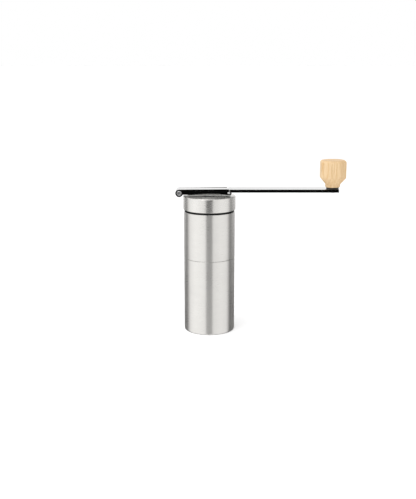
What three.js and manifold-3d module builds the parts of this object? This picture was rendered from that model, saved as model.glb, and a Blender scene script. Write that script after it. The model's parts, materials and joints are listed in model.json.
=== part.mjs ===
// Hand crank coffee grinder, in millimetres, +Z up.
// The origin is the centre of the flat underside of the grounds cup, and the crank points along +X.
import * as THREE from 'three';
import { mergeVertices } from 'three/addons/utils/BufferGeometryUtils.js';
import Module from 'manifold-3d';

const wasm = await Module();
wasm.setup();

// Driving dimensions
const BODY_RADIUS = 25.2;
const WALL = 1;
const CUP_TOP = 74.6;
const CUP_EDGE_RADIUS = 1.3;
const HOPPER_BOTTOM = 74.85;
const HOPPER_TOP = 121.1;
const LID_RADIUS = 25.75;
const LID_BOTTOM = 123.2;
const LID_TOP = 136.5;
const LID_WALL = 0.7;
const LID_BEVEL = 0.4;

const SHAFT_RADIUS = 3;
const SHAFT_BOTTOM = 56.6;
const SHAFT_HEX_FLATS = 5;
const SHAFT_HEX_BOTTOM = 125.5;
const SHAFT_TOP = 136;

const NECK_BOTTOM = 62;
const HOUSING_RADIUS = BODY_RADIUS - WALL - 0.3;
const HOUSING_TOP = 92;
const BURR_BOTTOM = 66.5;
const BURR_TOP = 83;
const BURR_RADIUS = 17;
const CONE_BOTTOM = 65.2;
const CONE_TOP = 82.2;
const CONE_BORE = 6.5;
const BURR_TEETH = 12;
const CARRIER_FLANGE_RADIUS = 9;
const CARRIER_FLANGE_HEIGHT = 1.6;
const SCREW_CIRCLE = 19.2;
const SCREW_COUNT = 3;

const SPIDER_BOTTOM = 92.4;
const SPIDER_HUB_BOTTOM = 96;
const SPIDER_HUB_TOP = 114.5;
const SPIDER_HUB_RADIUS = 6.8;
const SPIDER_BORE = 4.7;
const SPOKE_WIDTH = 4;
const CLIP_BOTTOM = 116.1;
const CLIP_THICKNESS = 0.7;

const PIN_X = -29.6;
const PIN_Z = 139.8;
const PIN_RADIUS = 2;
const EAR_RADIUS = 3.7;
const SHEET = 1.4;
const WEB_BOTTOM = 137.5;
const WEB_LEFT = -21.5;
const WEB_RIGHT = 21.6;
const TAB_BEND = 2;
const BRACKET_HALF_WIDTH = 8;
const CHEEK_TOP = 143.8;

const ARM_BOTTOM = 140.5;
const ARM_TOP = 143.5;
const ARM_NARROW_HALF_WIDTH = 6.3;
const ARM_HALF_WIDTH = 8;
const ARM_STEP_X = 18.9;
const ARM_END_X = 126.4;
const ARM_CORNER = 1.1;

const KNOB_X = 120.9;
const KNOB_BOTTOM = 144.9;
const KNOB_TOP = 171.4;
const KNOB_RADIUS = 12.3;
const KNOB_NECK_RADIUS = 7.2;
const KNOB_TAPER_BOTTOM = 148.2;
const KNOB_TAPER_TOP = 154.1;
const KNOB_BEVEL = 1.5;
const WASHER_RADIUS = 6.2;

// Smoothness of the round pieces
const LARGE = 40;
const MEDIUM = 28;
const SMALL = 18;

// Helpers

/** A closed geometry with its shared vertices merged and its flat triangles dropped. */
function welded(geometry) {
  geometry.deleteAttribute('normal');
  geometry.deleteAttribute('uv');
  const merged = mergeVertices(geometry, 1e-4);
  const index = merged.index.array;
  const kept = [];
  for (let i = 0; i < index.length; i += 3) {
    const [a, b, c] = index.subarray(i, i + 3);
    if (a !== b && b !== c && c !== a) kept.push(a, b, c);
  }
  merged.setIndex(kept);
  return merged;
}

function solidOf(geometry) {
  const merged = welded(geometry);
  return new wasm.Manifold(new wasm.Mesh({
    numProp: 3,
    vertProperties: new Float32Array(merged.attributes.position.array),
    triVerts: new Uint32Array(merged.index.array),
  }));
}

function geometryOf(solid) {
  const mesh = solid.getMesh();
  const geometry = new THREE.BufferGeometry();
  geometry.setAttribute('position', new THREE.BufferAttribute(mesh.vertProperties, 3));
  geometry.setIndex(new THREE.BufferAttribute(mesh.triVerts, 1));
  geometry.computeVertexNormals();
  return geometry;
}

function join(...geometries) {
  return geometryOf(geometries.map(solidOf).reduce((a, b) => a.add(b)));
}

function cut(geometry, ...tools) {
  return geometryOf(tools.map(solidOf).reduce((a, b) => a.subtract(b), solidOf(geometry)));
}

/** Revolves [radius, z] points about Z. A profile off the axis is closed on itself. */
function revolve(profile, sides = LARGE) {
  const points = profile.map(([r, z]) => new THREE.Vector2(r, z));
  const onAxis = points[0].x === 0 && points.at(-1).x === 0;
  if (!onAxis) points.push(points[0].clone());
  if (THREE.ShapeUtils.area(points) < 0) points.reverse();
  return welded(new THREE.LatheGeometry(points, sides).rotateX(Math.PI / 2));
}

/** A tube or disc standing on Z. */
function ring(inner, outer, bottom, top, sides = LARGE) {
  const profile = [[inner, bottom], [outer, bottom], [outer, top], [inner, top]];
  return revolve(profile, sides);
}

function rod(radius, bottom, top, sides = SMALL) {
  return revolve([[0, bottom], [radius, bottom], [radius, top], [0, top]], sides);
}

/** A rod along Y. */
function crossRod(radius, halfLength, x, z, sides = SMALL) {
  return rod(radius, -halfLength, halfLength, sides).rotateX(Math.PI / 2).translate(x, 0, z);
}

/** An outline in X and Z, given a thickness along Y from one y to the other. */
function plateXZ(shape, fromY, toY, curveSegments = 8) {
  const options = { depth: toY - fromY, bevelEnabled: false, curveSegments };
  return new THREE.ExtrudeGeometry(shape, options).rotateX(Math.PI / 2).translate(0, toY, 0);
}

/** An outline in X and Y, given a thickness along Z. */
function plateXY(shape, bottom, top, curveSegments = 8) {
  const options = { depth: top - bottom, bevelEnabled: false, curveSegments };
  return new THREE.ExtrudeGeometry(shape, options).translate(0, 0, bottom);
}

function box(x0, x1, y0, y1, z0, z1) {
  const size = new THREE.BoxGeometry(x1 - x0, y1 - y0, z1 - z0);
  return size.translate((x0 + x1) / 2, (y0 + y1) / 2, (z0 + z1) / 2);
}

function hexPrism(flats, bottom, top) {
  return rod(flats / Math.sqrt(3), bottom, top, 6);
}

/** Quarter-circle points, as [radius, z] offsets from a centre, between two angles in degrees. */
function arc(centreR, centreZ, radius, fromDegrees, toDegrees, steps = 4) {
  return Array.from({ length: steps + 1 }, (_, i) => {
    const a = THREE.MathUtils.degToRad(fromDegrees + ((toDegrees - fromDegrees) * i) / steps);
    return [centreR + radius * Math.cos(a), centreZ + radius * Math.sin(a)];
  });
}

const FINISHES = {
  brushed: { color: 0xb9bbbd, roughness: 0.35, metalness: 1 },
  polished: { color: 0x8f9194, roughness: 0.12, metalness: 1 },
  steel: { color: 0xa6a8aa, roughness: 0.3, metalness: 1 },
  black: { color: 0x161616, roughness: 0.55, metalness: 0 },
  rubber: { color: 0x101010, roughness: 0.8, metalness: 0 },
  bushing: { color: 0xb88a45, roughness: 0.4, metalness: 1 },
  ceramic: { color: 0xeeeae2, roughness: 0.5, metalness: 0 },
  nylon: { color: 0xe4e2dc, roughness: 0.6, metalness: 0 },
  wood: { color: 0xd9bd8c, roughness: 0.55, metalness: 0 },
};

const grinder = new THREE.Group();

function addPiece(name, geometry, finish) {
  const material = new THREE.MeshStandardMaterial(FINISHES[finish]);
  const mesh = new THREE.Mesh(geometry, material);
  mesh.name = name;
  grinder.add(mesh);
}

// Lower cup, which catches the grounds and is what the grinder stands on

function groundsCup() {
  const inner = BODY_RADIUS - WALL;
  const innerCorner = 1.2;
  return revolve([
    [0, 0],
    ...arc(BODY_RADIUS - CUP_EDGE_RADIUS, CUP_EDGE_RADIUS, CUP_EDGE_RADIUS, -90, 0),
    [BODY_RADIUS, CUP_TOP],
    [inner, CUP_TOP],
    ...arc(inner - innerCorner, WALL + innerCorner, innerCorner, 0, -90, 2),
    [0, WALL],
  ]);
}

addPiece('grounds_cup', groundsCup(), 'brushed');

// Upper body: steel tube, burr housing, bearing spider and the fixed burr

const SEAL_BOTTOM = 69;
const SEAL_HEIGHT = 1.6;
const SEAL_OUTER = BODY_RADIUS - WALL - 0.1;
const SEAL_INNER = SEAL_OUTER - 1;
const SEAL_GAP = 0.1;
addPiece('cup_seal', ring(SEAL_INNER, SEAL_OUTER, SEAL_BOTTOM, SEAL_BOTTOM + SEAL_HEIGHT), 'rubber');

addPiece('hopper_tube', ring(BODY_RADIUS - WALL, BODY_RADIUS, HOPPER_BOTTOM, HOPPER_TOP), 'brushed');

const SHOULDER_RADIUS = 15.6;
const BURR_SEAT_RADIUS = BURR_RADIUS + 0.2;
const NECK_INNER = 21.2;
const PLATE_TOP = BURR_BOTTOM - 0.2;
const PLATE_BOTTOM = PLATE_TOP - 1.8;
const PLATE_INNER = 15.9;
const SCREW_HOLE_DEPTH = 8;
const SCREW_HOLE_RADIUS = 1.1;
const SCREW_SHANK_RADIUS = 0.95;
const SCREW_HEAD_RADIUS = 1.9;
const SCREW_HEAD_HEIGHT = 1.2;

function screwPlace(number) {
  const angle = (number / SCREW_COUNT) * 2 * Math.PI + Math.PI / 6;
  return [SCREW_CIRCLE * Math.cos(angle), SCREW_CIRCLE * Math.sin(angle)];
}

function atScrews(makeTool) {
  return Array.from({ length: SCREW_COUNT }, (_, i) => makeTool().translate(...screwPlace(i), 0));
}

/**
 * Moulded core: the neck that plugs into the cup, with a groove for its seal, the seat of the fixed
 * burr, and a sloping bean floor.
 */
function burrHousing() {
  const shoulderTop = BURR_TOP + 1.6;
  const seatBottom = PLATE_TOP + 0.1;
  const groove = SEAL_INNER - SEAL_GAP;
  const body = revolve([
    [HOUSING_RADIUS, NECK_BOTTOM],
    [HOUSING_RADIUS, SEAL_BOTTOM - SEAL_GAP],
    [groove, SEAL_BOTTOM - SEAL_GAP],
    [groove, SEAL_BOTTOM + SEAL_HEIGHT + SEAL_GAP],
    [HOUSING_RADIUS, SEAL_BOTTOM + SEAL_HEIGHT + SEAL_GAP],
    [HOUSING_RADIUS, HOUSING_TOP],
    [HOUSING_RADIUS - 0.8, HOUSING_TOP],
    [SHOULDER_RADIUS, shoulderTop],
    [SHOULDER_RADIUS, BURR_TOP + 0.2],
    [BURR_SEAT_RADIUS, BURR_TOP + 0.2],
    [BURR_SEAT_RADIUS, seatBottom],
    [NECK_INNER, seatBottom],
    [NECK_INNER, NECK_BOTTOM],
  ]);
  return cut(body, ...atScrews(() =>
    rod(SCREW_HOLE_RADIUS, NECK_BOTTOM, seatBottom + SCREW_HOLE_DEPTH, 12)));
}

addPiece('burr_housing', burrHousing(), 'black');

function burrRetainer() {
  const plate = ring(PLATE_INNER, NECK_INNER - 0.3, PLATE_BOTTOM, PLATE_TOP);
  return cut(plate, ...atScrews(() => rod(SCREW_HOLE_RADIUS + 0.15, NECK_BOTTOM, BURR_TOP, 12)));
}

addPiece('burr_retainer', burrRetainer(), 'steel');

function burrScrew() {
  const headBottom = PLATE_BOTTOM - 0.1 - SCREW_HEAD_HEIGHT;
  const shankTop = PLATE_TOP + SCREW_HOLE_DEPTH - 1;
  const slot = box(-SCREW_HEAD_RADIUS, SCREW_HEAD_RADIUS, -0.3, 0.3, headBottom - 1, headBottom + 0.5);
  const screw = revolve([
    [0, headBottom],
    [SCREW_HEAD_RADIUS, headBottom],
    [SCREW_HEAD_RADIUS, headBottom + SCREW_HEAD_HEIGHT],
    [SCREW_SHANK_RADIUS, headBottom + SCREW_HEAD_HEIGHT],
    [SCREW_SHANK_RADIUS, shankTop],
    [0, shankTop],
  ], 12);
  return cut(screw, slot, slot.clone().rotateZ(Math.PI / 2));
}

for (let i = 0; i < SCREW_COUNT; i += 1) {
  addPiece(`burr_screw_${i + 1}`, burrScrew().translate(...screwPlace(i), 0), 'steel');
}

/** Presses slanted saw teeth into the side of a revolved burr; depthAt gives the depth by radius and z. */
function withTeeth(geometry, twistPerMillimetre, depthAt) {
  const place = geometry.attributes.position;
  for (let i = 0; i < place.count; i += 1) {
    const [x, y, z] = [place.getX(i), place.getY(i), place.getZ(i)];
    const radius = Math.hypot(x, y);
    const turn = Math.atan2(y, x) / (2 * Math.PI) + twistPerMillimetre * z;
    const tooth = ((turn * BURR_TEETH) % 1 + 1) % 1;
    const scale = 1 + (depthAt(radius, z) * Math.min(tooth * 1.25, (1 - tooth) * 5)) / radius;
    place.setXY(i, x * scale, y * scale);
  }
  return geometry;
}

const TOOTH_SIDES = BURR_TEETH * 5;
const BURR_THROAT = 13.2;
const BURR_MOUTH = 14.6;
const BURR_EXIT = 15.2;

function outerBurr() {
  const throatZ = 75;
  const profile = [
    [BURR_RADIUS, BURR_BOTTOM],
    [BURR_RADIUS, BURR_TOP],
    [BURR_MOUTH, BURR_TOP],
    [BURR_THROAT, throatZ],
    [(BURR_THROAT + BURR_EXIT) / 2, (throatZ + BURR_BOTTOM) / 2],
    [BURR_EXIT, BURR_BOTTOM],
  ];
  const depth = (radius, z) => (radius > BURR_RADIUS - 1 ? 0 : 0.5 + 0.08 * (z - BURR_BOTTOM));
  return withTeeth(revolve(profile, TOOTH_SIDES), -0.012, depth);
}

addPiece('outer_burr', outerBurr(), 'ceramic');

/** A hub on three spokes inside a ring, which carries the shaft's two bushings. */
function bearingSpider() {
  const spokeTop = SPIDER_HUB_BOTTOM + 5;
  const rim = ring(HOUSING_RADIUS - 1.8, HOUSING_RADIUS, SPIDER_BOTTOM, spokeTop);
  const hub = ring(SPIDER_BORE, SPIDER_HUB_RADIUS, SPIDER_HUB_BOTTOM, SPIDER_HUB_TOP);
  const spokes = [0, 1, 2].map((i) =>
    box(SPIDER_HUB_RADIUS - 0.8, HOUSING_RADIUS - 0.8, -SPOKE_WIDTH / 2, SPOKE_WIDTH / 2,
      SPIDER_HUB_BOTTOM, spokeTop).rotateZ(Math.PI / 2 + (i * 2 * Math.PI) / 3));
  return join(rim, hub, ...spokes);
}

addPiece('bearing_spider', bearingSpider(), 'black');

const BUSHING_BORE = SHAFT_RADIUS + 0.08;
const BUSHING_RADIUS = SPIDER_BORE - 0.1;
const BUSHING_LENGTH = 5.5;
const FLANGE_RADIUS = 6;
const FLANGE_THICKNESS = 0.6;
const FLANGE_GAP = 0.1;

/** A flanged sleeve whose flange bears on the end of the hub: side is 1 on top and -1 underneath. */
function bushing(hubEnd, side) {
  return revolve([
    [BUSHING_BORE, hubEnd - side * BUSHING_LENGTH],
    [BUSHING_RADIUS, hubEnd - side * BUSHING_LENGTH],
    [BUSHING_RADIUS, hubEnd + side * FLANGE_GAP],
    [FLANGE_RADIUS, hubEnd + side * FLANGE_GAP],
    [FLANGE_RADIUS, hubEnd + side * (FLANGE_GAP + FLANGE_THICKNESS)],
    [BUSHING_BORE, hubEnd + side * (FLANGE_GAP + FLANGE_THICKNESS)],
  ], SMALL);
}

addPiece('upper_bushing', bushing(SPIDER_HUB_TOP, 1), 'bushing');
addPiece('lower_bushing', bushing(SPIDER_HUB_BOTTOM, -1), 'bushing');

// Drive: shaft, its clip and washer, and the spring that presses the cone down

const GROOVE_RADIUS = 2.3;

function driveShaft() {
  const round = revolve([
    [0, SHAFT_BOTTOM],
    [SHAFT_RADIUS - 0.5, SHAFT_BOTTOM],
    [SHAFT_RADIUS, SHAFT_BOTTOM + 0.5],
    [SHAFT_RADIUS, CLIP_BOTTOM - 0.1],
    [GROOVE_RADIUS, CLIP_BOTTOM - 0.1],
    [GROOVE_RADIUS, CLIP_BOTTOM + CLIP_THICKNESS + 0.1],
    [SHAFT_RADIUS, CLIP_BOTTOM + CLIP_THICKNESS + 0.1],
    [SHAFT_RADIUS, SHAFT_HEX_BOTTOM],
    [0, SHAFT_HEX_BOTTOM],
  ], SMALL);
  return join(round, hexPrism(SHAFT_HEX_FLATS, SHAFT_HEX_BOTTOM - 1, SHAFT_TOP));
}

addPiece('drive_shaft', driveShaft(), 'steel');

function shaftClip() {
  const outer = 5.2;
  const clip = ring(GROOVE_RADIUS + 0.1, outer, CLIP_BOTTOM, CLIP_BOTTOM + CLIP_THICKNESS, SMALL);
  return cut(clip, box(0, 6, -2, 2, CLIP_BOTTOM - 1, CLIP_BOTTOM + 2));
}

addPiece('shaft_clip', shaftClip(), 'steel');

const THRUST_WASHER_RADIUS = 5.6;
const THRUST_WASHER_BOTTOM = SPIDER_HUB_TOP + FLANGE_GAP + FLANGE_THICKNESS + 0.15;
addPiece('thrust_washer',
  ring(SHAFT_RADIUS + 0.2, THRUST_WASHER_RADIUS, THRUST_WASHER_BOTTOM, CLIP_BOTTOM - 0.1, SMALL), 'nylon');

class SpringPath extends THREE.Curve {
  constructor(radius, bottom, top, turns) {
    super();
    Object.assign(this, { radius, bottom, top, turns });
  }

  getPoint(t, target = new THREE.Vector3()) {
    const a = t * this.turns * 2 * Math.PI;
    const rise = THREE.MathUtils.lerp(this.bottom, this.top, t);
    return target.set(this.radius * Math.cos(a), this.radius * Math.sin(a), rise);
  }
}

function burrSpring() {
  const [wire, radius, turns] = [0.5, 4.7, 4.5];
  const bottom = CONE_TOP + 0.9;
  const top = SPIDER_HUB_BOTTOM - FLANGE_THICKNESS - 0.9;
  const path = new SpringPath(radius, bottom, top, turns);
  const section = new THREE.Shape().absarc(0, 0, wire, 0, 2 * Math.PI);
  return new THREE.ExtrudeGeometry(section, { steps: 54, curveSegments: 3, extrudePath: path });
}

addPiece('burr_spring', burrSpring(), 'steel');

// Turning burr, its carrier and the adjusting dial

function innerBurr() {
  const profile = [
    [CONE_BORE, CONE_BOTTOM],
    [14.3, CONE_BOTTOM],
    [14.6, CONE_BOTTOM + 1],
    [13.1, 70.1],
    [11.6, 74],
    [9.2, 78],
    [7.4, CONE_TOP],
    [CONE_BORE, CONE_TOP],
  ];
  const depth = (radius, z) =>
    (radius < CONE_BORE + 0.1 ? 0 : -Math.min(0.4 + 0.15 * (z - CONE_BOTTOM), radius - CONE_BORE - 0.6));
  return withTeeth(revolve(profile, TOOTH_SIDES), 0.012, depth);
}

addPiece('inner_burr', innerBurr(), 'ceramic');

/** A flanged sleeve that turns the cone with the shaft. */
function burrCarrier() {
  const bore = SHAFT_RADIUS + 0.15;
  const flangeTop = CONE_BOTTOM - 0.2;
  return revolve([
    [bore, flangeTop - CARRIER_FLANGE_HEIGHT],
    [CARRIER_FLANGE_RADIUS, flangeTop - CARRIER_FLANGE_HEIGHT],
    [CARRIER_FLANGE_RADIUS, flangeTop],
    [CONE_BORE - 0.2, flangeTop],
    [CONE_BORE - 0.2, CONE_TOP - 0.2],
    [bore, CONE_TOP - 0.2],
  ], MEDIUM);
}

addPiece('burr_carrier', burrCarrier(), 'black');

/** A wheel with finger scallops that screws along the shaft's lower end. */
function adjustmentDial() {
  const [bottom, top, radius, scallops] = [57.6, 63, 8.6, 8];
  const wheel = ring(SHAFT_RADIUS + 0.15, radius, bottom, top, MEDIUM);
  const tools = Array.from({ length: scallops }, (_, i) => {
    const angle = (i / scallops) * 2 * Math.PI;
    const reach = radius + 1.1;
    return rod(2, bottom - 1, top - 1.4, 12)
      .translate(reach * Math.cos(angle), reach * Math.sin(angle), 0);
  });
  return cut(wheel, ...tools);
}

addPiece('adjustment_dial', adjustmentDial(), 'black');

// Lid: steel cap over a black liner, with a seal on the liner's plug

const LID_HOLE = 6.2;

function lidShell() {
  const [inner, under] = [LID_RADIUS - LID_WALL, LID_TOP - LID_WALL];
  return revolve([
    [LID_HOLE, under],
    [inner, under],
    [inner, LID_BOTTOM],
    [LID_RADIUS, LID_BOTTOM],
    [LID_RADIUS, LID_TOP - LID_BEVEL],
    [LID_RADIUS - LID_BEVEL, LID_TOP],
    [LID_HOLE, LID_TOP],
  ]);
}

addPiece('lid_shell', lidShell(), 'brushed');

const PLUG_RADIUS = 22;
const PLUG_WALL = 1.5;
const PLUG_BOTTOM = 117.5;
const GASKET_INNER = PLUG_RADIUS + 0.2;
const GASKET_OUTER = BODY_RADIUS - 0.7;
const LINER_TOP = LID_TOP - LID_WALL - 0.3;
const LINER_RADIUS = LID_RADIUS - LID_WALL - 0.3;

function lidLiner() {
  const [boreRadius, bossRadius, bossBottom] = [5.2, 7.8, 126];
  const ceiling = LINER_TOP - PLUG_WALL;
  return revolve([
    [boreRadius, LINER_TOP],
    [LINER_RADIUS, LINER_TOP],
    [LINER_RADIUS, LID_BOTTOM + 0.1],
    [PLUG_RADIUS, LID_BOTTOM + 0.1],
    [PLUG_RADIUS, PLUG_BOTTOM],
    [PLUG_RADIUS - PLUG_WALL, PLUG_BOTTOM],
    [PLUG_RADIUS - PLUG_WALL, ceiling],
    [bossRadius, ceiling],
    [bossRadius, bossBottom],
    [boreRadius, bossBottom],
  ]);
}

addPiece('lid_liner', lidLiner(), 'black');
addPiece('lid_gasket', ring(GASKET_INNER, GASKET_OUTER, HOPPER_TOP + 0.15, LID_BOTTOM - 0.05), 'rubber');

// Crank bracket: a folded steel channel riveted on the hub that fits the shaft

/** Side outline of a cheek: a long low plate with a round ear at the hinge. */
function cheekOutline() {
  const [notchTop, notchLeft, endTop, endBottom] = [WEB_BOTTOM + 1, PIN_X + 3.7, 17.4, 17.9];
  const earAngle = Math.asin((notchTop - PIN_Z) / EAR_RADIUS);
  const shape = new THREE.Shape();
  shape.moveTo(WEB_LEFT, WEB_BOTTOM);
  shape.lineTo(endBottom, WEB_BOTTOM);
  shape.lineTo(endTop, CHEEK_TOP);
  shape.lineTo(PIN_X, CHEEK_TOP);
  shape.absarc(PIN_X, PIN_Z, EAR_RADIUS, Math.PI / 2, 2 * Math.PI + earAngle - 0.45, false);
  shape.lineTo(notchLeft, notchTop);
  shape.lineTo(WEB_LEFT, notchTop);
  return shape;
}

/** Side outline of the web's end, which curls up to stop just under the arm. */
function tabOutline(top) {
  const shape = new THREE.Shape();
  const [x, z] = [WEB_RIGHT - TAB_BEND, WEB_BOTTOM + TAB_BEND];
  shape.moveTo(x - TAB_BEND, WEB_BOTTOM);
  shape.absarc(x, z, TAB_BEND, -Math.PI / 2, 0, false);
  shape.lineTo(WEB_RIGHT, top);
  shape.lineTo(WEB_RIGHT - SHEET, top);
  shape.absarc(x, z, TAB_BEND - SHEET, 0, -Math.PI / 2, true);
  shape.lineTo(x - TAB_BEND, WEB_BOTTOM + SHEET);
  return shape;
}

function crankBracket() {
  const outer = BRACKET_HALF_WIDTH;
  const inner = outer - SHEET;
  const hubHole = 3.9;
  const tabTop = ARM_BOTTOM - 0.1;
  const front = plateXZ(cheekOutline(), -outer, -inner);
  const rear = plateXZ(cheekOutline(), inner, outer);
  const web = box(WEB_LEFT, WEB_RIGHT - TAB_BEND, -outer, outer, WEB_BOTTOM, WEB_BOTTOM + SHEET);
  const tab = plateXZ(tabOutline(tabTop), -inner, inner, 4);
  const pinHole = crossRod(PIN_RADIUS + 0.1, BRACKET_HALF_WIDTH + 1, PIN_X, PIN_Z);
  return cut(join(front, rear, web, tab), pinHole, rod(hubHole, WEB_BOTTOM - 1, WEB_BOTTOM + 3));
}

addPiece('crank_bracket', crankBracket(), 'polished');

/** Boss with a six-sided socket underneath; its neck passes through the bracket and is headed over. */
function crankHub() {
  const [bottom, neckRadius, headRadius] = [126.6, 3.6, 5.4];
  const shoulder = WEB_BOTTOM - 0.1;
  const headBottom = WEB_BOTTOM + SHEET + 0.1;
  const headTop = headBottom + 1.1;
  const body = revolve([
    [0, bottom],
    [4.8, bottom],
    [4.8, shoulder],
    [neckRadius, shoulder],
    [neckRadius, headBottom],
    [headRadius, headBottom],
    [headRadius - 0.3, headTop - 0.7],
    [headRadius - 1.8, headTop],
    [0, headTop],
  ], MEDIUM);
  return cut(body, hexPrism(SHAFT_HEX_FLATS + 0.3, bottom - 1, SHAFT_TOP + 0.3));
}

addPiece('crank_hub', crankHub(), 'steel');

/** Rivet with a low head at each end, along Y. */
function hingePin() {
  const [headRadius, headThickness] = [2.4, 0.7];
  const inside = BRACKET_HALF_WIDTH + 0.1;
  const end = inside + headThickness;
  const blank = revolve([
    [0, -end],
    [headRadius - 0.4, -end],
    [headRadius, -inside],
    [PIN_RADIUS, -inside],
    [PIN_RADIUS, inside],
    [headRadius, inside],
    [headRadius - 0.4, end],
    [0, end],
  ], SMALL);
  return blank.rotateX(Math.PI / 2).translate(PIN_X, 0, PIN_Z);
}

addPiece('hinge_pin', hingePin(), 'steel');

// Crank arm: a flat bar with an eye at the hinge, and the knob's spindle at its far end

function crankArm() {
  const eyeRadius = ARM_TOP - PIN_Z;
  const spindleHole = 2.7;
  const eye = crossRod(eyeRadius, ARM_NARROW_HALF_WIDTH, PIN_X, PIN_Z);
  const narrow = box(PIN_X, ARM_STEP_X + 2, -ARM_NARROW_HALF_WIDTH, ARM_NARROW_HALF_WIDTH,
    ARM_BOTTOM, ARM_TOP);
  const wide = new THREE.Shape();
  wide.moveTo(ARM_STEP_X, -ARM_HALF_WIDTH);
  wide.lineTo(ARM_END_X - ARM_CORNER, -ARM_HALF_WIDTH);
  wide.absarc(ARM_END_X - ARM_CORNER, -ARM_HALF_WIDTH + ARM_CORNER, ARM_CORNER, -Math.PI / 2, 0);
  wide.absarc(ARM_END_X - ARM_CORNER, ARM_HALF_WIDTH - ARM_CORNER, ARM_CORNER, 0, Math.PI / 2);
  wide.lineTo(ARM_STEP_X, ARM_HALF_WIDTH);
  const bar = plateXY(wide, ARM_BOTTOM, ARM_TOP, 6);
  return cut(
    join(eye, narrow, bar),
    crossRod(PIN_RADIUS + 0.1, BRACKET_HALF_WIDTH, PIN_X, PIN_Z),
    rod(spindleHole, ARM_BOTTOM - 1, ARM_TOP + 1).translate(KNOB_X, 0, 0),
  );
}

addPiece('crank_arm', crankArm(), 'polished');

const SPINDLE_TOP = 162;

/** Stud headed over under the arm, with a collar above it and a groove that the bushing snaps into. */
function knobSpindle() {
  const [tailRadius, headRadius, collarRadius, grooveRadius] = [2.6, 4, 4.2, 2.4];
  return revolve([
    [0, ARM_BOTTOM - 1],
    [headRadius - 1, ARM_BOTTOM - 1],
    [headRadius, ARM_BOTTOM - 0.1],
    [tailRadius, ARM_BOTTOM - 0.1],
    [tailRadius, ARM_TOP + 0.1],
    [collarRadius, ARM_TOP + 0.1],
    [collarRadius, ARM_TOP + 0.8],
    [SHAFT_RADIUS, ARM_TOP + 0.8],
    [SHAFT_RADIUS, SPINDLE_TOP - 3],
    [grooveRadius, SPINDLE_TOP - 3],
    [grooveRadius, SPINDLE_TOP - 2],
    [SHAFT_RADIUS, SPINDLE_TOP - 2],
    [SHAFT_RADIUS, SPINDLE_TOP - 0.6],
    [SHAFT_RADIUS - 0.6, SPINDLE_TOP],
    [0, SPINDLE_TOP],
  ], SMALL).translate(KNOB_X, 0, 0);
}

addPiece('knob_spindle', knobSpindle(), 'steel');

/** Thin black washer with a recess over the spindle's collar. */
function knobWasher() {
  const [recess, recessTop] = [4.4, ARM_TOP + 0.9];
  return revolve([
    [recess, ARM_TOP + 0.1],
    [WASHER_RADIUS, ARM_TOP + 0.1],
    [WASHER_RADIUS, KNOB_BOTTOM - 0.1],
    [SHAFT_RADIUS + 0.2, KNOB_BOTTOM - 0.1],
    [SHAFT_RADIUS + 0.2, recessTop],
    [recess, recessTop],
  ], SMALL).translate(KNOB_X, 0, 0);
}

addPiece('knob_washer', knobWasher(), 'black');

// Knob: turned and faceted wood on a nylon bushing

const KNOB_BORE = 4.9;

addPiece('knob_bushing', ring(SHAFT_RADIUS + 0.08, KNOB_BORE - 0.1, KNOB_BOTTOM + 0.1, SPINDLE_TOP - 0.5,
  SMALL).translate(KNOB_X, 0, 0), 'nylon');

function crankKnob() {
  const facets = 8;
  const cornerRadius = KNOB_RADIUS / Math.cos(Math.PI / facets);
  const body = revolve([
    [0, KNOB_TAPER_BOTTOM - 1],
    [KNOB_NECK_RADIUS, KNOB_TAPER_BOTTOM - 1],
    [KNOB_NECK_RADIUS + 0.6, KNOB_TAPER_BOTTOM],
    [cornerRadius, KNOB_TAPER_TOP],
    [cornerRadius, KNOB_TOP - KNOB_BEVEL],
    [cornerRadius - KNOB_BEVEL, KNOB_TOP],
    [0, KNOB_TOP],
  ], facets).rotateZ(Math.PI / facets);
  const neck = rod(KNOB_NECK_RADIUS, KNOB_BOTTOM, KNOB_TAPER_BOTTOM + 1);
  const bore = rod(KNOB_BORE, KNOB_BOTTOM - 1, SPINDLE_TOP + 1);
  return cut(join(body, neck), bore).translate(KNOB_X, 0, 0);
}

addPiece('crank_knob', crankKnob(), 'wood');

export default grinder;
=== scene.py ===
import json
import math

import bmesh
import bpy
from mathutils import Matrix, Vector


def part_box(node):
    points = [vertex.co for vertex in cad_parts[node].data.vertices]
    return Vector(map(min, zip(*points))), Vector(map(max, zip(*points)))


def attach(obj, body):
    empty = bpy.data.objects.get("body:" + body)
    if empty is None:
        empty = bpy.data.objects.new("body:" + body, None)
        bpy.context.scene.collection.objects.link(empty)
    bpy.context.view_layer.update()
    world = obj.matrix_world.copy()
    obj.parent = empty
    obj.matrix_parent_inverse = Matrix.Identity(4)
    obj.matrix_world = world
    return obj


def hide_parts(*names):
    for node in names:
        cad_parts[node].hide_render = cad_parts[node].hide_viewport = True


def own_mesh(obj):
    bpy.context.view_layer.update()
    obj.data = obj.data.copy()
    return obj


# Hand crank coffee grinder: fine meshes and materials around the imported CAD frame. Metres, +Z up.
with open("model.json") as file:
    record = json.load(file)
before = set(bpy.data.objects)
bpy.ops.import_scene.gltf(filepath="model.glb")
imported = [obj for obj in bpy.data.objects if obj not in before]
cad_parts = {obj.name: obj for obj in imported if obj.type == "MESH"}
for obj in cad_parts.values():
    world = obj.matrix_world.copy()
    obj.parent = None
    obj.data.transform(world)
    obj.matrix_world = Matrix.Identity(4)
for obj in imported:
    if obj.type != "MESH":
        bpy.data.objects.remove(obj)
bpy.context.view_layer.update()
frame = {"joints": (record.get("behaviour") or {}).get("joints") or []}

MM = 0.001
ROUND = 160  # sides of the large turned pieces
FINE = 96  # sides of the small ones
HINGE = next(j for j in frame["joints"] if j["name"] == "crank_fold")
PIN_X, _, PIN_Z = HINGE["pos_m"]


def span(node):
    """A CAD node's box: lowest and highest corner."""
    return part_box(node)


def centre_of(node):
    low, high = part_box(node)
    return (low + high) / 2


# ---------------------------------------------------------------- mesh helpers


def link(name, mesh):
    obj = bpy.data.objects.new(name, mesh)
    bpy.context.scene.collection.objects.link(obj)
    return obj


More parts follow.
